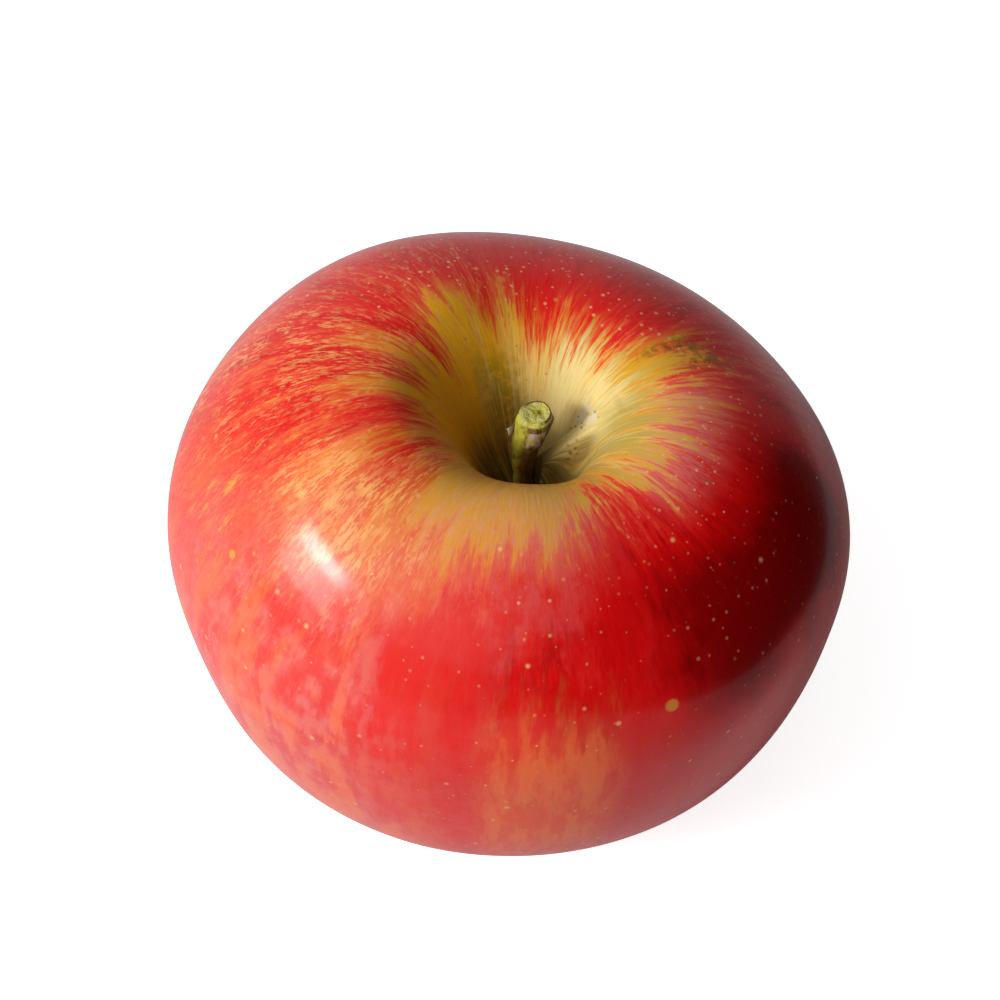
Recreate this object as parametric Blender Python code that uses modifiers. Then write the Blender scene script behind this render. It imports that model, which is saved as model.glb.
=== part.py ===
"""A ripe apple standing on its eye end: the fruit, its stem and the dried calyx in the eye basin.

Blender 4.5, metres, +Z up. The origin lies on the resting plane, below the middle of the fruit.
"""

import math

import bmesh
import bpy
import numpy as np
from mathutils import Matrix, Vector, noise

MM = 0.001

# Fruit. Half of its section as the control points of a smooth curve, (radius, height) in mm, from
# the pit where the stem grows, over the shoulder and round the flank, to the eye at the bottom.
FRUIT_SECTION = (
    (1.8, 44.5),
    (4.0, 47.0),
    (6.6, 53.0),
    (9.3, 60.2),
    (16.1, 64.8),
    (25.4, 61.9),
    (33.1, 55.8),
    (39.6, 45.3),
    (38.8, 34.5),
    (35.9, 19.4),
    (29.6, 8.6),
    (21.1, 1.5),
    (13.9, -1.0),
    (9.5, 2.5),
    (5.5, 7.0),
    (2.2, 8.2),
)
SECTION_STEPS = 3
MERIDIANS = 64
WELD_DISTANCE = 0.01 * MM
SHOULDER_RADIUS = 15.4 * MM
FLANK_RADIUS = 39 * MM
EQUATOR_HEIGHT = 34 * MM
SHOULDER_HEIGHT = 62 * MM

# The two sockets that the stem and the calyx grow out of, below the pit's floor and above the eye's
PIT_FLOOR = 44.4 * MM
STEM_SOCKET_DEPTH = 3.2 * MM
CALYX_SOCKET_DEPTH = 2.6 * MM

# Uneven growth. Each wave is (lobes round the fruit, height in mm, direction of a crest in degrees).
GIRTH_WAVES = ((1, 1.6, 151), (2, 1.25, -20), (3, 0.4, -25))
SHOULDER_WAVES = ((1, 2.3, 172), (2, 0.75, -18), (5, 0.37, -17))
CROWN_WAVE = (5, 0.5, 27)
CROWN_LIFT = 0.1 * MM
CROWN_INNER = 6 * MM
CROWN_OUTER = 26 * MM
STEM_PIT_SHIFT = Vector((1.1, -1.0, 0)) * MM
EYE_SHIFT = Vector((-0.8, 0.5, 0)) * MM
FRUIT_MIDDLE = Vector((-1.16, 1.09, 0)) * MM
DENT_DEPTH = 0.16 * MM
DENT_SIZE = 15 * MM
DENT_INNER = 4 * MM
DENT_OUTER = 12 * MM

# The fleshy lip that swells out of the pit's wall on one side of the stem. Its crest climbs from
# the stem to where it meets the wall; both ends are (distance from the pit's middle, height).
LIP_DIRECTION = math.radians(13)
LIP_FOOT = (1.8 * MM, 51.8 * MM)
LIP_TOP = (10.8 * MM, 61.0 * MM)
LIP_HALF_WIDTH = 1.9 * MM

# Stem: control points of its axis in mm, with its radius there, and the slanted scar at its end
STEM_AXIS = (
    (1.10, -1.00, 41.7, 1.40),
    (1.08, -1.00, 44.5, 1.42),
    (0.95, -0.98, 48.0, 1.48),
    (0.92, -0.88, 51.6, 1.52),
    (1.22, -0.62, 54.6, 1.78),
    (1.75, -0.32, 57.2, 2.12),
    (2.20, -0.05, 59.6, 2.20),
    (2.40, 0.05, 62.0, 2.10),
)
STEM_STEPS = 3
STEM_SIDES = 14
SCAR_CENTRE = Vector((2.15, -0.10, 59.1)) * MM
SCAR_TILT = math.radians(12)

# Calyx: five dried sepals on the short tube that they grew from
SEPALS = 5
SEPAL_TURN = math.radians(12)
SEPAL_AXIS = ((1.15, 7.9), (2.3, 6.5), (3.2, 4.9), (3.1, 3.4), (4.7, 2.3))
SEPAL_HALF_WIDTHS = (1.0, 1.65, 1.5, 1.0, 0.3)
SEPAL_THICKNESS = 0.7 * MM
SEPAL_CUP = 0.35
TUBE_RADIUS = 1.7 * MM
TUBE_BOTTOM = 5.9 * MM
TUBE_TOP = 10.3 * MM

SKIN_RED = (0.45, 0.02, 0.02, 1.0)
STEM_OLIVE = (0.28, 0.22, 0.06, 1.0)
CALYX_BROWN = (0.12, 0.08, 0.045, 1.0)


def clear_scene():
    for obj in list(bpy.data.objects):
        bpy.data.objects.remove(obj)


def finish_material(name, colour, roughness):
    material = bpy.data.materials.new(name)
    material.use_nodes = True
    shader = material.node_tree.nodes["Principled BSDF"]
    shader.inputs["Base Color"].default_value = colour
    shader.inputs["Roughness"].default_value = roughness
    shader.inputs["Metallic"].default_value = 0.0
    material.diffuse_color = colour
    return material


def mesh_object(name, bm, collection, material):
    mesh = bpy.data.meshes.new(name)
    bm.to_mesh(mesh)
    bm.free()
    mesh.materials.append(material)
    mesh.shade_smooth()
    obj = bpy.data.objects.new(name, mesh)
    collection.objects.link(obj)
    return obj


def fair_curve(controls, steps):
    """Points of a uniform cubic B-spline that runs from the first control point to the last."""
    chain = np.array(controls, float)
    chain = np.vstack([2 * chain[0] - chain[1], chain, 2 * chain[-1] - chain[-2]])
    points = []
    for start in range(len(chain) - 3):
        for t in np.arange(steps) / steps:
            weights = ((1 - t) ** 3, 3 * t**3 - 6 * t**2 + 4, -3 * t**3 + 3 * t**2 + 3 * t + 1, t**3)
            points.append(np.dot(weights, chain[start : start + 4]) / 6)
    points.append(np.array(controls[-1], float))
    return points


def ease(start, end, value):
    """0 before start, 1 after end, and a smooth rise between them."""
    t = min(max((value - start) / (end - start), 0), 1)
    return t * t * (3 - 2 * t)


def wave_sum(waves, angle):
    """The height of all the waves together in this direction."""
    total = 0.0
    for lobes, height, crest in waves:
        total += height * MM * math.cos(lobes * (angle - math.radians(crest)))
    return total


def lip_height(radius, angle, height):
    """How far the fleshy lip beside the stem stands above the pit's wall."""
    turn = angle - LIP_DIRECTION
    along = min((radius - LIP_FOOT[0]) / (LIP_TOP[0] - LIP_FOOT[0]), 1)
    crest = LIP_FOOT[1] + along * (LIP_TOP[1] - LIP_FOOT[1])
    across = radius * math.sin(turn) / LIP_HALF_WIDTH
    return max(crest - height, 0) * math.exp(-(across**4)) * ease(0, 0.8, math.cos(turn))


def grown(point):
    """Where a point of the evenly turned fruit lies on the uneven one that grew."""
    radius, angle, height = math.hypot(point.x, point.y), math.atan2(point.y, point.x), point.z
    outward = Vector((math.cos(angle), math.sin(angle), 0))
    in_pit = radius < SHOULDER_RADIUS and height > EQUATOR_HEIGHT
    upper = 1.0 if in_pit else ease(EQUATOR_HEIGHT, SHOULDER_HEIGHT, height)
    lifted = ease(0, SHOULDER_RADIUS, radius) if in_pit else upper
    lower = 1 - ease(0, EQUATOR_HEIGHT, height)

    place = point + outward * radius * wave_sum(GIRTH_WAVES, angle) / FLANK_RADIUS
    place.z += lifted * wave_sum(SHOULDER_WAVES, angle)
    crown = ease(CROWN_INNER, 2 * CROWN_INNER, radius) * (1 - ease(2 * CROWN_INNER, CROWN_OUTER, radius))
    place.z += lower**4 * crown * (CROWN_LIFT - wave_sum((CROWN_WAVE,), angle))
    place += STEM_PIT_SHIFT * upper + EYE_SHIFT * lower
    if in_pit and height > PIT_FLOOR:
        place.z += lip_height(radius, angle, height)
    away_from_sockets = ease(DENT_INNER, DENT_OUTER, radius)
    place += outward * away_from_sockets * DENT_DEPTH * noise.noise(point / DENT_SIZE)
    place.z = max(place.z, 0)
    return place - FRUIT_MIDDLE


def build_fruit(collection, material):
    """The fruit: its section turned about the core line, then grown uneven and flattened where it rests."""
    section = [Vector((radius, 0, height)) * MM for radius, height in fair_curve(FRUIT_SECTION, SECTION_STEPS)]
    pit, eye = section[0], section[-1]
    pit_floor, eye_roof = pit.z - STEM_SOCKET_DEPTH, eye.z + CALYX_SOCKET_DEPTH
    section = [Vector((0, 0, pit_floor)), Vector((pit.x, 0, pit_floor)), *section]
    section += [Vector((eye.x, 0, eye_roof)), Vector((0, 0, eye_roof))]
    bm = bmesh.new()
    row = [bm.verts.new(point) for point in section]
    edges = [bm.edges.new(pair) for pair in zip(row, row[1:])]
    bmesh.ops.spin(
        bm, geom=row + edges, cent=(0, 0, 0), axis=(0, 0, 1), angle=math.tau, steps=MERIDIANS, use_merge=True
    )
    bmesh.ops.remove_doubles(bm, verts=bm.verts, dist=WELD_DISTANCE)
    for vert in bm.verts:
        vert.co = grown(vert.co)
    bmesh.ops.recalc_face_normals(bm, faces=bm.faces)
    bmesh.ops.triangulate(bm, faces=bm.faces)
    return mesh_object("fruit", bm, collection, material)


def build_stem(collection, material):
    """The stem: a round bent tube that thickens into a knob, cut slanting where it broke off the spur."""
    points = fair_curve(STEM_AXIS, STEM_STEPS)
    curve = bpy.data.curves.new("stem axis", "CURVE")
    curve.dimensions = "3D"
    curve.bevel_depth = MM
    curve.bevel_resolution = STEM_SIDES // 2 - 2
    curve.use_fill_caps = True
    spline = curve.splines.new("POLY")
    spline.points.add(len(points) - 1)
    for knot, (x, y, z, radius) in zip(spline.points, points):
        knot.co = (x * MM, y * MM, z * MM, 1)
        knot.radius = radius
    tube = bpy.data.objects.new("stem tube", curve)
    bm = bmesh.new()
    bm.from_mesh(tube.to_mesh())
    bpy.data.objects.remove(tube)
    bmesh.ops.remove_doubles(bm, verts=bm.verts, dist=WELD_DISTANCE)
    scar_normal = Vector((0, -math.sin(SCAR_TILT), math.cos(SCAR_TILT)))
    cut = bmesh.ops.bisect_plane(
        bm, geom=bm.verts[:] + bm.edges[:] + bm.faces[:], plane_co=SCAR_CENTRE, plane_no=scar_normal, clear_outer=True
    )
    rim = [edge for edge in cut["geom_cut"] if isinstance(edge, bmesh.types.BMEdge)]
    bmesh.ops.contextual_create(bm, geom=rim)
    bmesh.ops.translate(bm, verts=bm.verts, vec=-FRUIT_MIDDLE)
    bmesh.ops.recalc_face_normals(bm, faces=bm.faces)
    return mesh_object("stem", bm, collection, material)


def sepal_blade(turn):
    """One sepal: a pointed, slightly cupped blade that leans out of the tube and curls at its tip."""
    rows, columns = 10, 4
    bm = bmesh.new()
    bmesh.ops.create_grid(bm, x_segments=columns, y_segments=rows, size=0.5)
    axis = fair_curve([(*point, half) for point, half in zip(SEPAL_AXIS, SEPAL_HALF_WIDTHS)], 6)
    spin = math.radians(360) * turn / SEPALS + SEPAL_TURN
    for vert in bm.verts:
        across, along = 2 * vert.co.x, vert.co.y + 0.5
        place = along * (len(axis) - 1)
        low = min(int(place), len(axis) - 2)
        radius, height, half = axis[low] + (place - low) * (axis[low + 1] - axis[low])
        side = across * half
        radius -= SEPAL_CUP * half * across**2
        vert.co = Vector((radius * math.cos(spin) - side * math.sin(spin),
                          radius * math.sin(spin) + side * math.cos(spin), height)) * MM
    return bm


def build_calyx(collection, material):
    """The calyx: five sepals and the tube's floor joined into one dried body."""
    pieces = bpy.data.collections.new("calyx pieces")
    bpy.context.scene.collection.children.link(pieces)
    for turn in range(SEPALS):
        blade = mesh_object(f"sepal {turn}", sepal_blade(turn), pieces, material)
        solidify = blade.modifiers.new("thickness", "SOLIDIFY")
        solidify.thickness = SEPAL_THICKNESS
        solidify.offset = 0
    bm = bmesh.new()
    bmesh.ops.create_cone(
        bm, cap_ends=True, segments=20, radius1=0.8 * TUBE_RADIUS, radius2=TUBE_RADIUS, depth=TUBE_TOP - TUBE_BOTTOM
    )
    bmesh.ops.translate(bm, verts=bm.verts, vec=(0, 0, (TUBE_TOP + TUBE_BOTTOM) / 2))
    calyx = mesh_object("calyx", bm, collection, material)
    join = calyx.modifiers.new("sepals", "BOOLEAN")
    join.operation = "UNION"
    join.operand_type = "COLLECTION"
    join.collection = pieces
    bpy.context.view_layer.update()
    joined = bpy.data.meshes.new_from_object(calyx.evaluated_get(bpy.context.evaluated_depsgraph_get()))
    calyx.modifiers.remove(join)
    calyx.data = joined
    for blade in list(pieces.objects):
        bpy.data.objects.remove(blade)
    bpy.data.collections.remove(pieces)
    calyx.data.transform(Matrix.Translation(EYE_SHIFT - FRUIT_MIDDLE))
    return calyx


def main():
    clear_scene()
    apple = bpy.data.collections.new("apple")
    bpy.context.scene.collection.children.link(apple)
    build_fruit(apple, finish_material("apple skin", SKIN_RED, 0.35))
    build_stem(apple, finish_material("stem bark", STEM_OLIVE, 0.6))
    build_calyx(apple, finish_material("dried calyx", CALYX_BROWN, 0.85))


main()
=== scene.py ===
"""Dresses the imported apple: a fine skin with its streaks and dots, the stem, the calyx and the studio."""
import math

import bmesh
import bpy
import numpy as np
from mathutils import Matrix, Vector, noise


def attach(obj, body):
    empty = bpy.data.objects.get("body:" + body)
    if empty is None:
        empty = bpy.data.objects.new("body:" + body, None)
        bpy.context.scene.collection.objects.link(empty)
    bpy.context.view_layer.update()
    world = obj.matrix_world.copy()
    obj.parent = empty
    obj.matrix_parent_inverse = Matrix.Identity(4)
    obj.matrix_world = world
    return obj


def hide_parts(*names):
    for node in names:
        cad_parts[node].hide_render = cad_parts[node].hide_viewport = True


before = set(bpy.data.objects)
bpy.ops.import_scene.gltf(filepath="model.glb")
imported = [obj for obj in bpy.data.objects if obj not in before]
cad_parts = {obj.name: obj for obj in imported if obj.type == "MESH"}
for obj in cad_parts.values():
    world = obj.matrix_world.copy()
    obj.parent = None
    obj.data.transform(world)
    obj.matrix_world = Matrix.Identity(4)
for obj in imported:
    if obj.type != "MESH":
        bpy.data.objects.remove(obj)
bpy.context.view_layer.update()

bl_info = {
    "name": "Red apple",
    "version": (1, 0, 0),
    "blender": (4, 5, 0),
    "location": "3D View > Sidebar > Apple",
    "description": "Grows a ripe red apple with its stem and calyx and sets it in a plain studio",
    "category": "Add Mesh",
}

MM = 0.001

# ---- shape of the fruit
# Half of the section as control points of a smooth curve, (radius, height) in mm, pit to eye
FRUIT_SECTION = (
    (1.8, 44.5),
    (4.0, 47.0),
    (6.6, 53.0),
    (9.3, 60.2),
    (16.1, 64.8),
    (25.4, 61.9),
    (33.1, 55.8),
    (39.6, 45.3),
    (38.8, 34.5),
    (35.9, 19.4),
    (29.6, 8.6),
    (21.1, 1.5),
    (13.9, -1.0),
    (9.5, 2.5),
    (5.5, 7.0),
    (2.2, 8.2),
)
SECTION_STEPS = 14
MERIDIANS = 320
WELD_DISTANCE = 0.01 * MM
FACET_SHARE = 0.9986
SHOULDER_RADIUS = 15.4 * MM
FLANK_RADIUS = 39 * MM
EQUATOR_HEIGHT = 34 * MM
SHOULDER_HEIGHT = 62 * MM
PIT_FLOOR = 44.4 * MM
STEM_SOCKET_DEPTH = 3.2 * MM
CALYX_SOCKET_DEPTH = 2.6 * MM

# Uneven growth. Each wave is (lobes round the fruit, height in mm, direction of a crest in degrees).
GIRTH_WAVES = ((1, 1.6, 151), (2, 1.25, -20), (3, 0.4, -25))
SHOULDER_WAVES = ((1, 2.3, 172), (2, 0.75, -18), (5, 0.37, -17))
CROWN_WAVE = (5, 0.5, 27)
CROWN_LIFT = 0.1 * MM
CROWN_INNER = 6 * MM
CROWN_OUTER = 26 * MM
STEM_PIT_SHIFT = Vector((1.1, -1.0, 0)) * MM
EYE_SHIFT = Vector((-0.8, 0.5, 0)) * MM
FRUIT_MIDDLE = Vector((-1.16, 1.09, 0)) * MM
DENT_DEPTH = 0.16 * MM
DENT_SIZE = 15 * MM
DENT_INNER = 4 * MM
DENT_OUTER = 12 * MM
LIP_DIRECTION = math.radians(13)
LIP_FOOT = (1.8 * MM, 51.8 * MM)
LIP_TOP = (10.8 * MM, 61.0 * MM)
LIP_HALF_WIDTH = 1.9 * MM

# ---- shape of the stem
# Its axis in mm, with its radius there, and the slanted scar at its end
STEM_AXIS = (
    (1.10, -1.00, 41.7, 1.40),
    (0.98, -1.00, 44.5, 1.32),
    (0.72, -0.98, 48.0, 1.24),
    (0.66, -0.88, 51.6, 1.25),
    (1.00, -0.62, 54.6, 1.58),
    (1.66, -0.32, 57.2, 2.06),
    (2.20, -0.05, 59.6, 2.18),
    (2.40, 0.05, 62.0, 2.08),
)
STEM_STEPS = 9
STEM_SIDES = 64
SHOULDER_START = 58.3 * MM

# The knob's rounded end as (share of the stem's radius, height over the shoulder in mm), rim to pith
SCAR_SECTION = (
    (1.00, 0.00),
    (0.99, 0.36),
    (0.94, 0.76),
    (0.85, 1.06),
    (0.75, 1.16),
    (0.64, 1.08),
    (0.50, 1.00),
    (0.34, 0.98),
    (0.20, 0.84),
    (0.11, 0.60),
    (0.03, 0.50),
)
SCAR_STEPS = 3
SCAR_SHIFT = Vector((0.85, 0.50, 0)) * MM
SCAR_START = 20
SCAR_LENGTH = 10
KNOB_START = 54 * MM

# Unevenness of the bark as (size of the bumps, their height)
COARSE_BARK = (1.5 * MM, 0.20 * MM)
FINE_BARK = (0.5 * MM, 0.07 * MM)
BARK_RIBS = (5 * MM, 0.20 * MM)
RIBS_AROUND = 2.6

# The loose flake of bark: where it hangs, its turn about Z, and how it curls across and twists
FLAKE_PLACE = Vector((-0.58, -0.50, 57.1)) * MM
FLAKE_TURN = math.radians(62)
FLAKE_THICKNESS = 0.07 * MM
FLAKE_RAGGED = 0.35
FLAKE_CURL = 0.9 * MM
FLAKE_TWIST = 0.5 * MM

# ---- shape of the calyx
SEPALS = 5
SEPAL_TURN = math.radians(12)
SEPAL_AXIS = ((1.15, 7.9), (2.3, 6.5), (3.2, 4.9), (3.1, 3.4), (4.7, 2.3))
SEPAL_HALF_WIDTHS = (1.0, 1.65, 1.5, 1.0, 0.3)
SEPAL_STEPS = 8
SEPAL_CUP = 0.35
SEPAL_EDGE_WAVE = 0.12
SEPAL_BEND = 0.35
SEPAL_LIFT = 0.25
TUBE_RADIUS = 1.7 * MM
TUBE_BOTTOM = 5.9 * MM
TUBE_TOP = 10.3 * MM
STAMENS = 16
STAMEN_RING = 0.9 * MM
STAMEN_FOOT = TUBE_BOTTOM + 0.1 * MM
STAMEN_TAPER = 1.4
STAMEN_LEAN = math.radians(14)
STAMEN_LEAN_SPREAD = math.radians(10)
STAMEN_SHIFT = 0.4

# ---- layers of the skin
# Streaks as (waves in a radian round the fruit, waves in a mm along it, seed, wander), coarse to fine
BANDS = (6, 0.04, 3.0, 0.10)
STRIPES = (17, 0.11, 11.0, 0.06)
DASHES = (42, 0.34, 29.0, 0.04)
THREADS = (105, 0.95, 47.0, 0.02)
STREAK_DRIFT = (4, 4, 0.06)

# Soft spots as (waves in a mm, detail)
WIDE_CLOUDS = (0.10, 3.0)
FLECK_CLOUDS = (0.16, 2.0)
MOTTLE = (0.42, 4.0)
FINE_SPOTS = (1.1, 3.0)
FINE_RELIEF = (1.6, 3.0)

# Dots as (spacing in mm, radius in mm, sharp share of the radius)
FAINT_DOTS = (1.5, 0.24, 0.10)
SMALL_DOTS = (1.10, 0.23, 0.30)
PIT_SPECKS = (1.5, 0.16, 0.30)
CORK_SPECKS = (0.72, 0.26, 0.30)
WALL_SPECKS = (0.90, 0.30, 0.30)
DOT_EDGE = 0.05
RARE_DOT_EDGE = 0.60
RARE_DOT_SPACING = 9.0
DOT_SIZE_SPREAD = 0.8
DOT_LEAST_SIZE = 0.5

# Areas as (direction, half width and end of the side fade in degrees, start and end along the skin
# from the pit's floor in mm, half of the fade there in mm)
FRONT_RIM = (-100, 14, 42, 10, 60, 6)
RIGHT_SIDE = (-5, 28, 48, 10, 60, 6)
BACK = (92, 40, 62, 10, 130, 8)
EVEN_SIDE = (-38, 36, 52, 33, 70, 5)

# Patches laid over the ground colour in turn: their colour, their share and their area
PIT_WALLS = (
    ("pit_amber", 1.00, 150, 50, 85, -20, 21, 4),
    ("pit_khaki", 1.00, -8, 62, 100, -20, 60, 5),
    ("pit_cream", 0.60, 68, 24, 44, -20, 19, 5),
    ("pit_cream", 0.95, 42, 14, 40, 9, 22, 4),
    ("pit_tan", 0.80, -98, 45, 80, -20, 22, 3),
)
# The first row is partly painted light: the amber is laid brighter over the pit's upper left edge, where the
# lamps give less light
PIT_EDGE = (
    ("pit_amber", 0.70, 148, 16, 32, 19, 32, 4),
    ("blush_orange", 0.50, -100, 26, 50, 25, 41, 4),
)
# Painted shade and light in the pit, in turn: dark olive as painted shade low on the pit's left side, cream
# as painted light on the lip beside the stem where the stem's shadow falls, and dark olive as painted shade
# in the groove beside the lip
PIT_PAINTED_SHADE_AND_LIGHT = (
    ("dark_olive_and_pit_shade", 0.88, 168, 40, 80, -20, 9, 5),
    ("pit_cream", 0.95, 20, 12, 34, 3, 15, 3),
    ("dark_olive_and_pit_shade", 0.70, -3, 3, 9, 2, 13, 3),
)
MOSS = (112, 8, 26, 7, 17, 3)
PALE_WALL = (40, 70, 110, -20, 60, 5)

# What each area adds: mm to where the red starts, and shares to its depth, its swing and the small dots
LATER_RED = (
    (4.5, FRONT_RIM),
    (3.5, RIGHT_SIDE),
    (1.0, BACK),
    (-2.6, (-178, 34, 52, 10, 60, 6)),
)
DEEPER_RED = (
    (0.34, (-31, 18, 38, 36, 53, 6)),
    (0.06, BACK),
    (-0.05, (-155, 30, 75, 10, 90, 8)),
    (0.10, (-68, 20, 46, 34, 66, 8)),
    (0.06, (-106, 6, 16, 40, 60, 6)),
)
LIVELIER = (
    (-0.25, (90, 45, 65, 25, 140, 4)),
    (0.14, (-168, 30, 60, 20, 60, 8)),
)
SMALL_DOTTED = ((0.85, BACK), (0.60, RIGHT_SIDE))

# Tongues of gold that reach into the red: their share and their area
GOLD_TONGUES = (
    (0.85, 27, 4, 10, 21, 33, 3),
    (0.45, 124, 2, 7, 18, 26, 3),
    (0.55, 161, 2, 7, 18, 29, 3),
    (0.65, -178, 3, 7, 18, 29, 3),
    (0.55, -152, 2, 7, 20, 30, 3),
    (0.40, -130, 3, 10, 24, 34, 3),
    (0.35, -118, 5, 14, 20, 33, 3),
    (0.30, -96, 5, 12, 20, 32, 3),
    (0.45, -2, 2, 7, 24, 31, 3),
)

# Tongues of deep red that reach into the gold, given the same way
RED_TONGUES = (
    (0.80, -166, 1, 4, 19, 28, 3),
    (0.75, -147, 1, 5, 20, 28, 3),
    (0.70, -133, 1, 5, 21, 28, 3),
    (0.75, 172, 1, 4, 19, 27, 3),
    (0.70, 147, 2, 6, 20, 30, 3),
    (0.62, 63, 6, 12, 20, 29, 3),
    (0.70, 110, 2, 6, 20, 28, 3),
    (0.75, 84, 6, 12, 19, 28, 3),
)
CORK_PATCH = (25, 7, 15, 9.8, 14.6, 1.1)
CORK_EDGE = (25, 9, 18, 9.4, 15, 1.2)
SPECKED_WALL = (8, 8, 18, 4.5, 8, 1.5)
OLIVE_MARK = (25, 3, 10, 27, 34, 3)

# Where the gold flecks lie, by shares; they are larger in two of the areas
GOLDEN = (-148, 10, 26, 28, 42, 5)
DENSE = (-136, 12, 30, 29, 41, 5)
FLECKED = (
    (0.46, (-165, 28, 52, 10, 52, 10)),
    (0.26, (-118, 16, 40, 10, 40, 7)),
    (0.30, GOLDEN),
    (0.30, DENSE),
    (0.42, (140, 25, 50, 15, 60, 8)),
)

# Pale film, mottle, belly and streaks of the flanks, and where a pale pink sheen is painted on the left and
# back flanks
STREAKED_FILM = ((0.48, (-16, 16, 34, 23, 31, 3)), (0.32, (-96, 16, 38, 20, 33, 5)))
LEFT_FILM = (-124, 18, 40, 34, 78, 8)
FRONT_FILM = (-88, 5, 16, 33, 43, 4)
LEFT_SHEEN = (-141, 16, 38, 43, 100, 10)
BACK_SHEEN = (105, 30, 70, 34, 90, 8)
MOTTLED_FRONT = (-104, 34, 60, 34, 78, 8)
CRIMSON_SPOT = (-107, 5, 13, 38, 52, 4)
BELLY = (-85, 6, 16, 53, 84, 7)
SOFT_STREAKS = (-146, 26, 46, 42, 120, 8)
RED_STREAKS = (-112, 40, 62, 40, 120, 8)
RED_STREAK = (-108, 5, 14, 39, 74, 5)

# Surfaces
PIT_ROUGHNESS = 0.72
WAX_ROUGHNESS = 0.34
WAX_COAT = 0.36
BARK_STRETCH = (2.2, 2.2, 0.6)
BARK_RELIEF = 0.4 * MM
FELT_RELIEF = 0.2 * MM


# ---- curves and growth

def fair_curve(controls, steps):
    """Points of a uniform cubic B-spline that runs from the first control point to the last."""
    chain = np.array(controls, float)
    chain = np.vstack([2 * chain[0] - chain[1], chain, 2 * chain[-1] - chain[-2]])
    points = []
    for start in range(len(chain) - 3):
        for t in np.arange(steps) / steps:
            weights = ((1 - t) ** 3, 3 * t**3 - 6 * t**2 + 4, -3 * t**3 + 3 * t**2 + 3 * t + 1, t**3)
            points.append(np.dot(weights, chain[start : start + 4]) / 6)
    points.append(np.array(controls[-1], float))
    return points


def ease(start, end, value):
    """0 before start, 1 after end, and a smooth rise between them."""
    t = min(max((value - start) / (end - start), 0), 1)
    return t * t * (3 - 2 * t)


def wave_sum(waves, angle):
    """The height of all the waves together in this direction."""
    total = 0.0
    for lobes, height, crest in waves:
        total += height * MM * math.cos(lobes * (angle - math.radians(crest)))
    return total


def lip_height(radius, angle, height):
    """How far the fleshy lip beside the stem stands above the pit's wall."""
    turn = angle - LIP_DIRECTION
    along = min((radius - LIP_FOOT[0]) / (LIP_TOP[0] - LIP_FOOT[0]), 1)
    crest = LIP_FOOT[1] + along * (LIP_TOP[1] - LIP_FOOT[1])
    across = radius * math.sin(turn) / LIP_HALF_WIDTH
    return max(crest - height, 0) * math.exp(-(across**4)) * ease(0, 0.8, math.cos(turn))


def grown(point):
    """Where a point of the evenly turned fruit lies on the uneven one that grew."""
    radius, angle, height = math.hypot(point.x, point.y), math.atan2(point.y, point.x), point.z
    outward = Vector((math.cos(angle), math.sin(angle), 0))
    in_pit = radius < SHOULDER_RADIUS and height > EQUATOR_HEIGHT
    upper = 1.0 if in_pit else ease(EQUATOR_HEIGHT, SHOULDER_HEIGHT, height)
    lifted = ease(0, SHOULDER_RADIUS, radius) if in_pit else upper
    lower = 1 - ease(0, EQUATOR_HEIGHT, height)

    place = point + outward * radius * wave_sum(GIRTH_WAVES, angle) / FLANK_RADIUS
    place.z += lifted * wave_sum(SHOULDER_WAVES, angle)
    crown = ease(CROWN_INNER, 2 * CROWN_INNER, radius) * (1 - ease(2 * CROWN_INNER, CROWN_OUTER, radius))
    place.z += lower**4 * crown * (CROWN_LIFT - wave_sum((CROWN_WAVE,), angle))
    place += STEM_PIT_SHIFT * upper + EYE_SHIFT * lower
    if in_pit and height > PIT_FLOOR:
        place.z += lip_height(radius, angle, height)
    away_from_sockets = ease(DENT_INNER, DENT_OUTER, radius)
    place += outward * away_from_sockets * DENT_DEPTH * noise.noise(point / DENT_SIZE)
    place.z = max(place.z, 0)
    return place - FRUIT_MIDDLE


# ---- making pieces

def new_object(name, data):
    """A mesh, lamp or camera set in the scene."""
    made = bpy.data.objects.new(name, data)
    bpy.context.scene.collection.objects.link(made)
    return made


def new_mesh(name, bm, material):
    """The finished mesh with its material."""
    mesh = bpy.data.meshes.new(name)
    bm.to_mesh(mesh)
    bm.free()
    mesh.materials.append(material)
    return mesh


def new_piece(name, bm, material, slot, *replaced):
    """A smooth piece that rides on the apple's one body."""
    mesh = new_mesh(name, bm, material)
    mesh.shade_smooth()
    piece = new_object(name, mesh)
    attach(piece, "root")
    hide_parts(*replaced)


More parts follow.
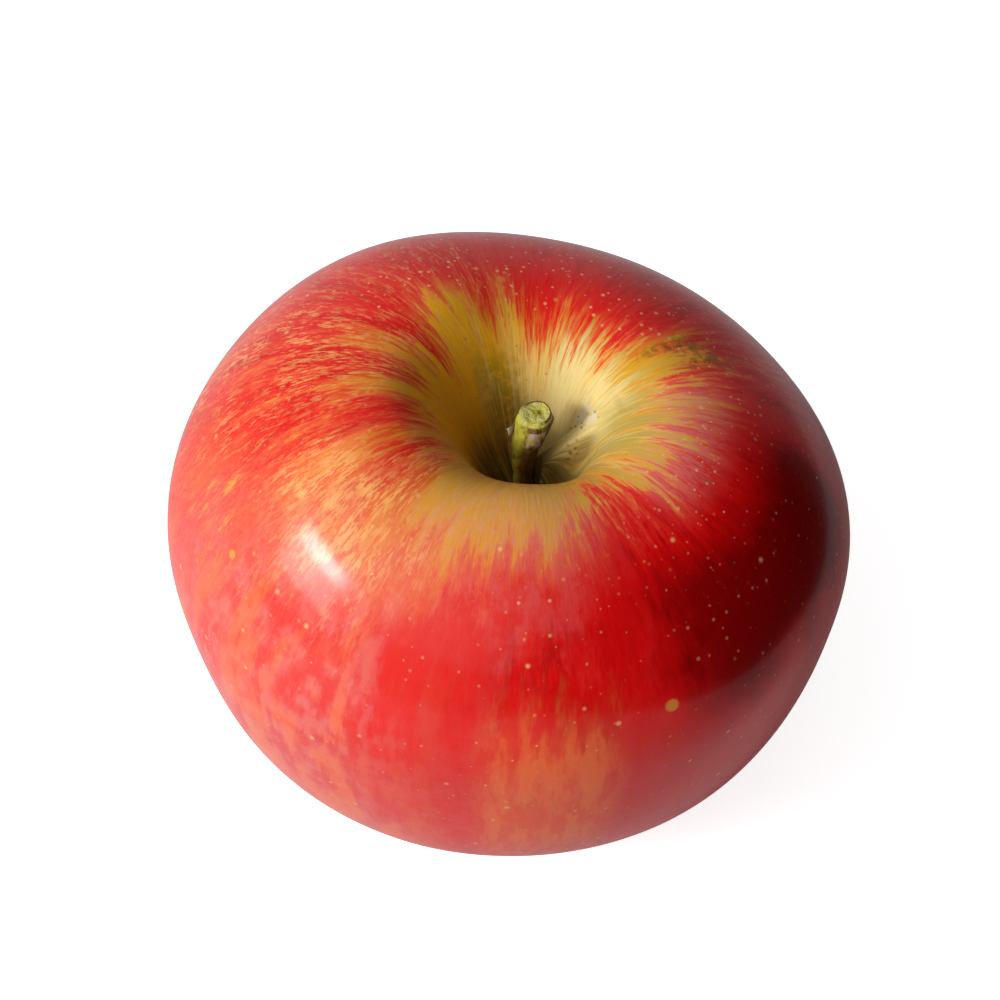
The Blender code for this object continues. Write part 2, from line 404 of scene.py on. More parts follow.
def turned_fruit():
    """The fruit as a fine turned shape, with each point's place on the skin kept as its growth."""
    section = fair_curve(FRUIT_SECTION, SECTION_STEPS)
    lengths = [0.0]
    for before, after in zip(section, section[1:]):
        lengths.append(lengths[-1] + float(np.linalg.norm(after - before)))
    points = [Vector((radius, 0, height)) * MM for radius, height in section]
    pit_floor = points[0].z - STEM_SOCKET_DEPTH
    eye_roof = points[-1].z + CALYX_SOCKET_DEPTH
    points = [Vector((0, 0, pit_floor)), Vector((points[0].x, 0, pit_floor)), *points]
    points += [Vector((points[-1].x, 0, eye_roof)), Vector((0, 0, eye_roof))]
    lengths = [0.0, 0.0, *lengths, lengths[-1], lengths[-1]]

    bm = bmesh.new()
    growth = bm.verts.layers.float_vector.new("growth")
    row = [bm.verts.new(point) for point in points]
    for vert, length in zip(row, lengths):
        vert[growth] = Vector((1, 0, length))
    edges = [bm.edges.new(pair) for pair in zip(row, row[1:])]
    bmesh.ops.spin(
        bm, geom=row + edges, cent=(0, 0, 0), axis=(0, 0, 1), angle=math.tau, steps=MERIDIANS, use_merge=True
    )
    bmesh.ops.remove_doubles(bm, verts=bm.verts, dist=WELD_DISTANCE)
    for vert in bm.verts:
        angle = math.atan2(vert.co.y, vert.co.x)
        vert[growth] = Vector((math.cos(angle), math.sin(angle), vert[growth].z))
        vert.co = grown(vert.co) * FACET_SHARE
    bmesh.ops.recalc_face_normals(bm, faces=bm.faces)
    return bm


def next_ring(bm, edges, centre, goal, factor):
    """The open ring of edges extruded to a new centre and scaled: its new vertices and edges."""
    extruded = bmesh.ops.extrude_edge_only(bm, edges=edges)["geom"]
    ring = [item for item in extruded if isinstance(item, bmesh.types.BMVert)]
    bmesh.ops.scale(bm, verts=ring, vec=(factor,) * 3, space=Matrix.Translation(-centre))
    bmesh.ops.translate(bm, verts=ring, vec=goal - centre)
    return ring, [item for item in extruded if isinstance(item, bmesh.types.BMEdge)]


def stem_tube(look):
    """The stem: rings extruded along its bent axis, which then close over the knob's rounded end."""
    axis = fair_curve(STEM_AXIS, STEM_STEPS)
    shaft = [point for point in axis if point[2] * MM < SHOULDER_START]
    bm = bmesh.new()
    growth = bm.verts.layers.float_vector.new("growth")
    chip = bm.verts.layers.float.new("chip")
    foot, radius = Vector(shaft[0][:3]) * MM, shaft[0][3] * MM
    bmesh.ops.create_circle(bm, cap_ends=True, radius=radius, segments=STEM_SIDES)
    for vert in bm.verts:
        vert[growth] = (*vert.co.xy.normalized(), 0)
    ring, edges = bm.verts[:], bm.edges[:]
    bmesh.ops.translate(bm, verts=ring, vec=foot)

    centre = foot
    for x, y, z, wide in shaft[1:]:
        goal = Vector((x, y, z)) * MM
        ring, edges = next_ring(bm, edges, centre, goal, wide * MM / radius)
        centre, radius = goal, wide * MM
        for vert in ring:
            vert[growth].z = (centre - foot).length / MM

    top, full = centre.copy(), radius
    normal = Vector((0, -math.sin(look.scar_tilt), math.cos(look.scar_tilt)))
    for share, height in fair_curve(SCAR_SECTION, SCAR_STEPS)[1:]:
        goal = top + normal * height * MM + SCAR_SHIFT * (1 - share)
        ring, edges = next_ring(bm, edges, centre, goal, share * full / radius)
        centre, radius = goal, share * full
        for vert in ring:
            vert[growth].z = SCAR_START + (1 - share) * SCAR_LENGTH
    bmesh.ops.contextual_create(bm, geom=edges)

    for vert in bm.verts:
        slanted = ease(KNOB_START, SHOULDER_START, vert.co.z)
        vert.co.z += math.tan(look.scar_tilt) * (vert.co.y - top.y) * slanted
        around = vert[growth].xy
        coarse = COARSE_BARK[1] * noise.noise(vert.co / COARSE_BARK[0])
        fine = FINE_BARK[1] * noise.noise(vert.co / FINE_BARK[0] + Vector((7, 0, 0)))
        ribs = BARK_RIBS[1] * noise.noise(Vector((*(around * RIBS_AROUND), vert.co.z / BARK_RIBS[0])))
        on_shaft = 1 - ease(SCAR_START, SCAR_START + 2, vert[growth].z)
        outward = Vector((*around, 0)) * on_shaft + normal * (1 - on_shaft)
        vert.co += outward * (coarse + fine + ribs * on_shaft)
    loose_flake(bm, chip, look)
    bmesh.ops.recalc_face_normals(bm, faces=bm.faces)
    bmesh.ops.translate(bm, verts=bm.verts, vec=-FRUIT_MIDDLE)
    return bm


def loose_flake(bm, chip, look):
    """A thin curled flake of pale bark that has come away below the knob."""
    known = set(bm.verts)
    bmesh.ops.create_grid(bm, x_segments=8, y_segments=6, size=0.5)
    flake = [vert for vert in bm.verts if vert not in known]
    for vert in flake:
        across, up = vert.co.x, vert.co.y
        ragged = 1 + FLAKE_RAGGED * noise.noise(Vector((across * 5, up * 5, 3)))
        curl = FLAKE_CURL * across**2 - FLAKE_TWIST * up * across
        vert.co = Vector((across * look.flake_width * ragged, curl, up * look.flake_height * ragged))
    sheet = list({face for vert in flake for face in vert.link_faces})
    bmesh.ops.solidify(bm, geom=sheet, thickness=FLAKE_THICKNESS)
    flake = [vert for vert in bm.verts if vert not in known]
    for vert in flake:
        vert[chip] = 1
    bmesh.ops.rotate(bm, verts=flake, matrix=Matrix.Rotation(FLAKE_TURN, 3, "Z"))
    bmesh.ops.translate(bm, verts=flake, vec=FLAKE_PLACE)


def sepal_blade(bm, turn):
    """One dried sepal: a pointed cupped blade that leans out of the tube and curls at its tip."""
    before = set(bm.verts)
    bmesh.ops.create_grid(bm, x_segments=10, y_segments=26, size=0.5)
    blade = [vert for vert in bm.verts if vert not in before]
    axis = fair_curve([(*point, half) for point, half in zip(SEPAL_AXIS, SEPAL_HALF_WIDTHS)], SEPAL_STEPS)
    spin = math.tau * turn / SEPALS + SEPAL_TURN
    for vert in blade:
        across, along = 2 * vert.co.x, vert.co.y + 0.5
        place = along * (len(axis) - 1)
        low = min(int(place), len(axis) - 2)
        radius, height, half = axis[low] + (place - low) * (axis[low + 1] - axis[low])
        wave = noise.noise(Vector((turn * 7.1, along * 3.0, across * 1.2)))
        side = across * half * (1 + SEPAL_EDGE_WAVE * wave)
        radius += SEPAL_BEND * wave * along - SEPAL_CUP * half * across**2
        height += SEPAL_LIFT * noise.noise(Vector((turn * 3.3 + 9, along * 4.0, across * 2.0))) * along
        vert.co = Vector((
            radius * math.cos(spin) - side * math.sin(spin),
            radius * math.sin(spin) + side * math.cos(spin),
            height,
        )) * MM


def dried_calyx(look):
    """Five sepals with their thickness, the floor of the tube and the dry threads of the stamens."""
    bm = bmesh.new()
    for turn in range(SEPALS):
        sepal_blade(bm, turn)
    bmesh.ops.recalc_face_normals(bm, faces=bm.faces)
    bmesh.ops.solidify(bm, geom=bm.faces[:], thickness=look.sepal_thickness)
    middle = Matrix.Translation((0, 0, (TUBE_TOP + TUBE_BOTTOM) / 2))
    bmesh.ops.create_cone(
        bm,
        cap_ends=True,
        segments=40,
        radius1=0.8 * TUBE_RADIUS,
        radius2=TUBE_RADIUS,
        depth=TUBE_TOP - TUBE_BOTTOM,
        matrix=middle,
    )
    for thread in range(STAMENS):
        spin = math.tau * thread / STAMENS + STAMEN_SHIFT * noise.noise(Vector((thread * 3.7, 0, 0)))
        lean = STAMEN_LEAN + STAMEN_LEAN_SPREAD * noise.noise(Vector((0, thread * 2.9, 0)))
        middle = Matrix.Translation((STAMEN_RING, 0, STAMEN_FOOT - look.stamen_length / 2))
        bmesh.ops.create_cone(
            bm,
            cap_ends=True,
            segments=6,
            radius1=look.stamen_width / 2 / STAMEN_TAPER,
            radius2=look.stamen_width / 2,
            depth=look.stamen_length,
            matrix=Matrix.Rotation(spin, 4, "Z") @ middle @ Matrix.Rotation(-lean, 4, "Y"),
        )
    bmesh.ops.translate(bm, verts=bm.verts, vec=EYE_SHIFT - FRUIT_MIDDLE)
    return bm


# ---- node trees

def heading(degrees):
    """A level unit direction."""
    return (math.cos(math.radians(degrees)), math.sin(math.radians(degrees)), 0.0)


class Nodes:
    """A node tree with short ways to work out values and colours in it."""

    def __init__(self, tree):
        self.tree = tree

    def give(self, node, inputs):
        """Sets these inputs of the node, or links those whose value comes from another node."""
        for key, value in inputs.items():
            if isinstance(value, bpy.types.NodeSocket):
                self.tree.links.new(value, node.inputs[key])
            else:
                node.inputs[key].default_value = value

    def add(self, kind, inputs, **settings):
        """A new node with its settings and inputs."""
        node = self.tree.nodes.new("ShaderNode" + kind)
        for name, value in settings.items():
            setattr(node, name, value)
        self.give(node, inputs)
        return node

    def math(self, operation, *values):
        return self.add("Math", dict(enumerate(values)), operation=operation).outputs[0]

    def times(self, *values):
        """The product of these numbers or sockets."""
        product = values[0]
        for value in values[1:]:
            product = self.math("MULTIPLY", product, value)
        return product

    def plus(self, first, second, weight=1.0):
        """The first value plus the second by its weight."""
        return self.math("MULTIPLY_ADD", second, weight, first)

    def vector(self, operation, first, second, output="Vector"):
        return self.add("VectorMath", {0: first, 1: second}, operation=operation).outputs[output]

    def facing(self, direction, degrees):
        """How closely a direction agrees with this heading, from -1 to 1."""
        return self.vector("DOT_PRODUCT", direction, heading(degrees), "Value")

    def split(self, vector):
        return self.add("SeparateXYZ", {0: vector}).outputs

    def join(self, x, y, z):
        return self.add("CombineXYZ", {0: x, 1: y, 2: z}).outputs[0]

    def range(self, value, low, high, start=0.0, end=1.0):
        """A smooth change from start to end while the value goes from low to high."""
        inputs = {"Value": value, "From Min": low, "From Max": high, "To Min": start, "To Max": end}
        return self.add("MapRange", inputs, interpolation_type="SMOOTHSTEP").outputs[0]

    def over(self, below, above, *shares):
        """One colour laid over another by the product of these shares."""
        inputs = {0: self.times(*shares), 6: below, 7: above}
        return self.add("Mix", inputs, data_type="RGBA").outputs[2]

    def attribute(self, name, output):
        """A value that the piece's vertices carry."""
        return self.add("Attribute", {}, attribute_name=name).outputs[output]

    def own_place(self):
        """The piece's own coordinates in mm."""
        inputs = {"Vector": self.add("TexCoord", {}).outputs["Object"], "Scale": (1000, 1000, 1000)}
        return self.add("Mapping", inputs).outputs[0]

    def clouds(self, place, per_mm, detail, output="Fac"):
        """Soft uneven spots with this many waves in a mm."""
        inputs = {"Vector": place, "Scale": per_mm, "Detail": detail}
        return self.add("TexNoise", inputs).outputs[output]

    def relief(self, height, distance, strength):
        """The normal of a surface with these small bumps."""
        inputs = {"Height": height, "Distance": distance, "Strength": strength}
        return self.add("Bump", inputs).outputs[0]


def new_material(name):
    """A material and its Principled shader."""
    material = bpy.data.materials.new(name)
    material.use_nodes = True
    return material, material.node_tree.nodes["Principled BSDF"]


def new_group(name, inputs, output):
    """A shader group with one output: its nodes, its given inputs and its output node."""
    tree = bpy.data.node_groups.new(name, "ShaderNodeTree")
    for label, default in inputs.items():
        kind = "NodeSocketVector" if default is None else "NodeSocketFloat"
        socket = tree.interface.new_socket(label, in_out="INPUT", socket_type=kind)
        if default is not None:
            socket.default_value = default
    tree.interface.new_socket(output, in_out="OUTPUT", socket_type="NodeSocketFloat")
    return Nodes(tree), tree.nodes.new("NodeGroupInput").outputs, tree.nodes.new("NodeGroupOutput")


def streak_group():
    """Streaks that run down the skin from the stem, as even numbers from 0 to 1."""
    inputs = {"Growth": None, "Around": 20.0, "Along": 0.1, "Seed": 0.0, "Wander": 0.03}
    nodes, given, result = new_group("skin streaks", inputs, "Streaks")
    calm = nodes.vector("MULTIPLY", given["Growth"], STREAK_DRIFT)
    drift = nodes.vector("SUBTRACT", nodes.clouds(calm, 1.0, 1.0, "Color"), (0.5, 0.5, 0.5))
    drift = nodes.add("VectorMath", {0: drift, "Scale": given["Wander"]}, operation="SCALE")
    moved = nodes.vector("ADD", given["Growth"], drift.outputs[0])
    stretched = nodes.vector("MULTIPLY", moved, nodes.join(given["Around"], given["Around"], given["Along"]))
    seeded = nodes.vector("ADD", stretched, given["Seed"])
    inputs = {"Vector": seeded, "Scale": 1.0, "Detail": 4.0, "Roughness": 0.6}
    grain = nodes.add("TexNoise", inputs).outputs["Fac"]
    nodes.give(result, {"Streaks": nodes.range(grain, 0.32, 0.68)})
    return nodes.tree


def patch_group():
    """A patch of the skin round one direction and between two distances from the stem."""
    inputs = {"Growth": None, "Direction": None, "Inner": 0.9, "Outer": 0.7, "Start": 20.0, "End": 40.0}
    nodes, given, result = new_group("skin patch", {**inputs, "Fade": 4.0}, "Patch")
    along, fade = nodes.split(given["Growth"])["Z"], given["Fade"]

    def change_at(edge, before, after):
        low, high = nodes.math("SUBTRACT", edge, fade), nodes.math("ADD", edge, fade)
        return nodes.range(along, low, high, before, after)

    facing = nodes.vector("DOT_PRODUCT", given["Growth"], given["Direction"], "Value")
    around = nodes.range(facing, given["Outer"], given["Inner"])
    patch = nodes.times(change_at(given["Start"], 0.0, 1.0), change_at(given["End"], 1.0, 0.0), around)
    nodes.give(result, {"Patch": patch})
    return nodes.tree


def dot_group():
    """Round dots of uneven size strewn over a surface; places and sizes are in mm."""
    inputs = {"Place": None, "Spacing": 3.0, "Radius": 0.4, "Edge": 0.5}
    nodes, given, result = new_group("strewn dots", inputs, "Dots")
    inputs = {"Vector": given["Place"], "Scale": nodes.math("DIVIDE", 1.0, given["Spacing"])}
    cells = nodes.add("TexVoronoi", inputs).outputs
    distance = nodes.times(cells["Distance"], given["Spacing"])
    size = nodes.plus(DOT_LEAST_SIZE, nodes.split(cells["Color"])["X"], DOT_SIZE_SPREAD)
    radius = nodes.times(given["Radius"], size)
    inner = nodes.times(radius, given["Edge"])
    nodes.give(result, {"Dots": nodes.range(distance, inner, radius, 1.0, 0.0)})
    return nodes.tree


# ---- the skin

class GrownNodes(Nodes):
    """Nodes for a surface that keeps, as growth, its heading and its distance along the skin in mm."""

    def __init__(self, tree):
        super().__init__(tree)
        self.place = self.own_place()
        self.growth = self.attribute("growth", "Vector")
        self.along = self.split(self.growth)["Z"]

    def reached(self, low, high, start=0.0, end=1.0):
        """A smooth change along the skin."""
        return self.range(self.along, low, high, start, end)


class SkinNodes(GrownNodes):
    """The skin's nodes, with the patterns that its layers share."""

    def __init__(self, tree):
        super().__init__(tree)
        self.streaks, self.patch, self.dots = streak_group(), patch_group(), dot_group()
        self.areas = {}
        self.bands = self.streaked(*BANDS)
        self.stripes = self.streaked(*STRIPES)
        self.dashes = self.streaked(*DASHES)
        self.threads = self.streaked(*THREADS)
        self.fine_spots = self.clouds(self.place, *FINE_SPOTS)
        # Growth whose distance from the stem is made ragged by the streaks
        self.ragged = self.plus(self.plus(self.along, self.bands, 3.0), self.stripes, 5.0)
        self.ragged = self.plus(self.plus(self.ragged, self.dashes, 3.0), -5.5)
        around_x, around_y, _ = self.split(self.growth)
        self.torn = self.join(around_x, around_y, self.ragged)

    def use(self, group, **inputs):
        """The result of a group with its own values."""
        return self.add("Group", inputs, node_tree=group).outputs[0]

    def streaked(self, around, per_mm, seed, wander):
        """Streaks with this many waves in a radian round the fruit and this many in a mm along it."""
        growth, group = self.growth, self.streaks
        return self.use(group, Growth=growth, Around=around, Along=per_mm, Seed=seed, Wander=wander)

    def strewn(self, spacing, radius, edge):
        return self.use(self.dots, Place=self.place, Spacing=spacing, Radius=radius, Edge=edge)

    def placed(self, growth, degrees, inner, outer, start, end, fade):
        return self.use(
            self.patch,
            Growth=growth,
            Direction=heading(degrees),
            Inner=math.cos(math.radians(inner)),
            Outer=math.cos(math.radians(outer)),
            Start=start,
            End=end,
            Fade=fade,
        )

    def area(self, *where):
        """An area of the skin with smooth edges, which is made once and shared."""
        if where not in self.areas:
            self.areas[where] = self.placed(self.growth, *where)
        return self.areas[where]

    def tongue(self, *where):
        """An area whose ends follow the streaks."""
        return self.placed(self.torn, *where)

    def total(self, base, weighted_areas):
        """The base plus the weight of each of these areas."""
        for weight, where in weighted_areas:
            base = self.plus(base, self.area(*where), weight)
        return base

    def tinted(self, colour, look, patches):
        """The colour with each patch of a table laid over it in turn."""
        for name, share, *where in patches:
            colour = self.over(colour, getattr(look, name), share, self.area(*where))
        return colour


def pit_ground(skin, look):
    """The gold, cream and green skin of the pit, which also shows through the red, with painted shade at its
    floor, low on its left side and in the groove beside the lip, and painted light on the lip and the upper
    left edge.
    """
    ground = skin.tinted(look.ground_gold, look, PIT_WALLS)
    ground = skin.over(ground, look.ground_gold, 0.80, skin.range(skin.ragged, 18, 23))
    # The first patch is partly painted light on the pit's upper left edge
    ground = skin.tinted(ground, look, PIT_EDGE)
    mossy = skin.range(skin.fine_spots, 0.34, 0.56, 0.35, 0.85)
    ground = skin.over(ground, look.pit_moss, skin.area(*MOSS), mossy)
    # Painted shade: dark olive laid over the skin more and more towards the pit's floor
    ground = skin.over(ground, look.dark_olive_and_pit_shade, skin.reached(0, 8, 0.90, 0.0))
    # Painted shade low on the left side and in the groove, and painted light on the lip
    ground = skin.tinted(ground, look, PIT_PAINTED_SHADE_AND_LIGHT)
    streaks = skin.range(skin.stripes, 0.4, 1.0)
    ground = skin.over(ground, look.pit_cream, 0.35, streaks, skin.area(*PALE_WALL))
    ground = skin.over(ground, look.pit_khaki, 0.30, skin.range(skin.dashes, 0.5, 1.0))
    ground = skin.over(ground, look.pit_amber, 0.25, skin.range(skin.bands, 0.5, 1.0))
    return skin.over(ground, look.dark_olive_and_pit_shade, 0.45, skin.range(skin.strewn(*PIT_SPECKS), 0, 1))


def red_share(skin):
    """How red the skin is: from nothing in the pit, later in front, to deepest on the shaded side."""
    late, even = skin.area(*FRONT_RIM), skin.area(*EVEN_SIDE)
    from_start = skin.math("SUBTRACT", skin.along, skin.total(20.0, LATER_RED))
    rise = skin.range(from_start, -5.0, skin.plus(11.0, late, 8.0))
    grain = skin.plus(skin.plus(-0.70, skin.stripes, 0.50), skin.dashes, 0.40)
    grain = skin.plus(skin.plus(grain, skin.threads, 0.20), skin.bands, 0.30)
    swing = skin.times(skin.total(0.70, LIVELIER), skin.range(even, 0, 1, 1.0, 0.12))
    swing = skin.times(swing, skin.range(late, 0, 1, 1.0, 0.62), skin.reached(38, 62, 1.0, 0.50))
    swing = skin.times(swing, skin.reached(14, 19))
    redness = skin.plus(skin.times(rise, skin.total(0.68, DEEPER_RED)), skin.times(grain, swing))
    cloud = skin.range(skin.clouds(skin.place, *WIDE_CLOUDS), 0.3, 0.7)
    redness = skin.plus(redness, skin.times(skin.reached(30, 42), skin.plus(-0.5, cloud)), 0.16)
    return skin.math("MINIMUM", redness, skin.plus(0.84, even, 0.22))


def blushed(skin, look, ground):
    """The ground with the red laid over it, from thin orange to maroon."""
    redness = red_share(skin)
    ramp = skin.add("ValToRGB", {"Fac": redness})
    points = ramp.color_ramp.elements
    points[0].position, points[0].color = 0.22, look.blush_orange
    points[1].position, points[1].color = 1.00, look.blush_maroon
    for position, colour in ((0.36, look.blush_scarlet), (0.54, look.blush_red), (0.78, look.blush_crimson)):
        points.new(position).color = colour
    return skin.over(ground, ramp.outputs["Color"], skin.range(redness, 0.13, 0.38))


def tongues_and_cork(skin, look, colour):
    """Gold and red tongues across the pit's edge, and the corky patch beside the stem."""
    veined = skin.range(skin.dashes, 0.28, 0.62, 0.30, 1.0)
    for share, *where in GOLD_TONGUES:
        colour = skin.over(colour, look.ground_gold, share, skin.tongue(*where), veined)
    for share, *where in RED_TONGUES:
        colour = skin.over(colour, look.blush_crimson, share, skin.tongue(*where))
    corky = skin.range(skin.fine_spots, 0.40, 0.50)
    colour = skin.over(colour, look.cork, 0.75, skin.area(*CORK_PATCH), corky)
    specks = skin.times(skin.area(*CORK_EDGE), skin.strewn(*CORK_SPECKS))
    specks = skin.plus(specks, skin.times(skin.area(*SPECKED_WALL), skin.strewn(*WALL_SPECKS)))
    colour = skin.over(colour, look.dark_olive_and_pit_shade, 0.80, specks)
    olive = skin.range(skin.fine_spots, 0.35, 0.60)
    return skin.over(colour, look.dark_olive_and_pit_shade, 0.65, skin.tongue(*OLIVE_MARK), olive)


def gold_flecks(skin, look, colour):
    """Fine gold flecks in the red, thickest over the left shoulder."""
    golden, dense = skin.area(*GOLDEN), skin.area(*DENSE)
    flecks = skin.plus(skin.times(skin.dashes, 0.55), skin.threads, 0.55)
    flecks = skin.plus(skin.plus(flecks, golden, 0.10), dense, 0.09)
    flecks = skin.range(skin.plus(flecks, skin.range(skin.bands, 0.3, 0.7), 0.06), 0.50, 1.02)
    uneven = skin.range(skin.clouds(skin.place, *FLECK_CLOUDS), 0.36, 0.62, 0.35, 1.0)
    colour = skin.over(colour, look.fleck, 0.26, dense)
    return skin.over(colour, look.fleck, flecks, skin.total(0.0, FLECKED), uneven)


def film_and_streaks(skin, look, colour):
    """The thin pale film, the mottled front, the orange belly and the soft streaks of the flanks, and a
    painted sheen of pale pink over the left and back flanks.
    """
    pale = skin.range(skin.plus(skin.times(skin.dashes, 0.5), skin.threads, 0.6), 0.10, 0.95)
    colour = skin.over(colour, look.bloom_and_sheen, skin.total(0.0, STREAKED_FILM), pale)
    mottle = skin.range(skin.plus(skin.clouds(skin.place, *MOTTLE), skin.stripes, 0.22), 0.42, 0.80)
    colour = skin.over(colour, look.bloom_and_sheen, 0.12, skin.area(*LEFT_FILM), mottle)
    colour = skin.over(colour, look.bloom_and_sheen, 0.12, skin.tongue(*FRONT_FILM), mottle)
    # Painted sheen: pale pink laid over the left and back flanks, where the wax would reflect the bright
    # room
    painted_sheen = skin.times(skin.area(*LEFT_SHEEN), skin.plus(0.24, mottle, 0.10))
    colour = skin.over(colour, look.bloom_and_sheen, skin.plus(painted_sheen, skin.area(*BACK_SHEEN), 0.16))
    deep_spots = skin.plus(1.0, mottle, -1.0)
    colour = skin.over(colour, look.blush_crimson, 0.40, skin.area(*MOTTLED_FRONT), deep_spots)
    colour = skin.over(colour, look.blush_crimson, 0.55, skin.tongue(*CRIMSON_SPOT))
    striped = skin.range(skin.stripes, 0.2, 0.8, 0.55, 1.0)
    colour = skin.over(colour, look.belly, 0.75, skin.tongue(*BELLY), striped)
    soft = skin.range(skin.plus(skin.times(skin.bands, 0.5), skin.stripes, 0.5), 0.35, 0.75)
    colour = skin.over(colour, look.belly, 0.50, skin.area(*SOFT_STREAKS), soft)
    red = skin.range(skin.plus(skin.times(skin.bands, -0.5), skin.stripes, -0.5), -0.40, 0.0)
    red = skin.plus(skin.times(red, skin.area(*RED_STREAKS)), skin.tongue(*RED_STREAK), 0.9)
    return skin.over(colour, look.blush_red, 0.60, red)


def pale_dots(skin, look, colour):
    """The colour with its pale dots, and the mask of the usual ones for their relief."""
    outside = skin.reached(20, 26)
    usual = skin.times(skin.strewn(look.dot_spacing / MM, look.dot_radius / MM, DOT_EDGE), outside)
    rare = skin.strewn(RARE_DOT_SPACING, look.rare_dot_radius / MM, RARE_DOT_EDGE)
    small = skin.times(skin.strewn(*SMALL_DOTS), outside, skin.reached(33, 42, 1.0, 0.1))
    colour = skin.over(colour, look.dot, 0.75, small, skin.total(0.15, SMALL_DOTTED))
    colour = skin.over(colour, look.dot, 0.35, skin.strewn(*FAINT_DOTS), outside)
    colour = skin.over(colour, look.dot, 0.70, usual)
    return skin.over(colour, look.rare_dot, 0.60, rare, outside), usual


def skin_material(look):
    """Waxy apple skin: gold and cream in the pit, red in streaks outside it, gold flecks and pale dots."""
    material, shader = new_material("apple skin")
    skin = SkinNodes(material.node_tree)
    colour = blushed(skin, look, pit_ground(skin, look))
    colour = tongues_and_cork(skin, look, colour)
    colour = gold_flecks(skin, look, colour)
    colour = film_and_streaks(skin, look, colour)
    colour, dots = pale_dots(skin, look, colour)
    fine = skin.clouds(skin.place, *FINE_RELIEF)
    relief = skin.plus(skin.times(fine, 0.012), skin.dashes, 0.015)
    relief = skin.plus(relief, skin.times(skin.threads, skin.reached(10, 22, 1.0, 0.0)), 0.02)
    skin.give(shader, {
        "Base Color": colour,
        "Roughness": skin.plus(skin.reached(12, 27, PIT_ROUGHNESS, WAX_ROUGHNESS), fine, 0.06),
        "Specular IOR Level": 0.05,
        "Coat Weight": skin.times(skin.reached(19, 29), WAX_COAT),
        "Coat Roughness": 0.16,
        "Normal": skin.relief(skin.plus(relief, dots, 0.02), MM, 1.0),
    })
    return material


# ---- stem and calyx

def stem_material(look):
    """Young bark: brown and olive round it, with painted light in yellow-green on its left side, painted
    shade on its right side and foot, a painted lilac highlight on the knob, and a green scar in a dark dry
    rim.
    """
    material, shader = new_material("stem bark")
    stem = GrownNodes(material.node_tree)
    on_scar = stem.math("SUBTRACT", stem.along, SCAR_START)

    def facing(degrees, low, high):
        """How far the bark faces this way, from 0 to 1."""
        return stem.range(stem.facing(stem.growth, degrees), low, high)

    stretched = stem.add("Mapping", {"Vector": stem.place, "Scale": BARK_STRETCH}).outputs[0]
    grain = stem.clouds(stretched, 1.0, 5.0)
    blotch = stem.clouds(stem.place, 0.9, 3.0)
    fibre = stem.range(grain, 0.36, 0.64)

    bark = stem.over(look.bark_brown, look.bark_olive, fibre)
    bark = stem.over(bark, look.bark_brown, 0.70, facing(-95, 0.45, 0.95))
    # Painted shade: dark bark on the stem's right side, away from the lamps
    bark = stem.over(bark, look.bark_dark, 0.85, facing(-28, 0.1, 0.8))
    # Painted light: pale yellow-green laid on the stem's left side, which faces the lamps
    bark = stem.over(bark, look.bark_green, facing(-178, 0.30, 0.80), stem.range(blotch, 0.28, 0.46))
    # The knob's own green, partly painted light: it is strongest on the side that faces the lamps
    knob = stem.times(stem.reached(12.5, 15.0), stem.range(blotch, 0.40, 0.58))
    bark = stem.over(bark, look.bark_green, 0.85, knob, facing(-160, -0.9, 0.3))
    # Painted shade: darker towards the stem's foot, deep in the pit
    bark = stem.over(bark, look.bark_dark, stem.reached(3.0, 8.0, 0.8, 0.0))
    # Painted highlight: a lilac patch on the front of the knob
    bloom_and_sheen = stem.times(stem.reached(13.6, 14.6), stem.reached(16.4, 20.4, 1.0, 0.0))
    bloom_and_sheen = stem.times(bloom_and_sheen, stem.range(grain, 0.40, 0.52), facing(-78, 0.78, 0.97))
    bark = stem.over(bark, look.bark_painted_highlight, 0.80, bloom_and_sheen)

    scar = stem.over(look.bark_green, look.scar_pale, stem.range(blotch, 0.40, 0.60))
    scar = stem.over(scar, look.bark_olive, 0.25, fibre)
    bark = stem.over(bark, scar, stem.range(on_scar, 0.4, 1.2))
    # Partly painted shade: the scar's dark dry rim is laid on every side but the one that faces the lamps
    rim = stem.times(stem.range(on_scar, 1.1, 1.8), stem.range(on_scar, 2.6, 3.4, 1.0, 0.0))
    bark = stem.over(bark, look.bark_rim, 0.90, rim, facing(40, -0.75, 0.1))
    bark = stem.over(bark, look.bark_olive, 0.60, stem.range(on_scar, 7.6, 8.8))
    bark = stem.over(bark, look.flake, stem.attribute("chip", "Fac"))
    stem.give(shader, {
        "Base Color": bark,
        "Roughness": stem.range(grain, 0.3, 0.7, 0.42, 0.62),
        "Normal": stem.relief(stem.plus(grain, blotch, 0.6), BARK_RELIEF, 0.9),
    })
    return material


def calyx_material(look):
    """Dry leaf tissue, grey-brown with paler felt."""
    material, shader = new_material("dried calyx")
    dry = Nodes(material.node_tree)
    grain = dry.clouds(dry.own_place(), 1.4, 5.0)
    dry.give(shader, {
        "Base Color": dry.over(look.calyx_dark, look.calyx_felt, dry.range(grain, 0.35, 0.65)),
        "Roughness": 0.9,
        "Normal": dry.relief(grain, FELT_RELIEF, 0.7),
    })
    return material


# ---- the studio

BRIGHT_WALL = 150
TABLE_REACH = 1.6
TABLE_EDGE = 0.16
TABLE_WHITE = (0.71, 0.71, 0.71, 1)
APPLE_MIDDLE = Vector((0, 0, 0.035))

# Soft lights as (direction and rise in degrees, width, height), all equally far from the apple
WINDOW = (-151, 35, 0.24, 0.12)
WINDOW_BELOW = (-153, 24, 0.30, 0.24)
CURTAIN = (-126, 46, 1.10, 0.80)
LIGHT_DISTANCE = 0.9

CAMERA_PLACE = (-0.00084, -0.21451, 0.31048)
CAMERA_TILT = math.radians(38.63)
LENS = 105.26
NEAR_LIMIT = 0.01


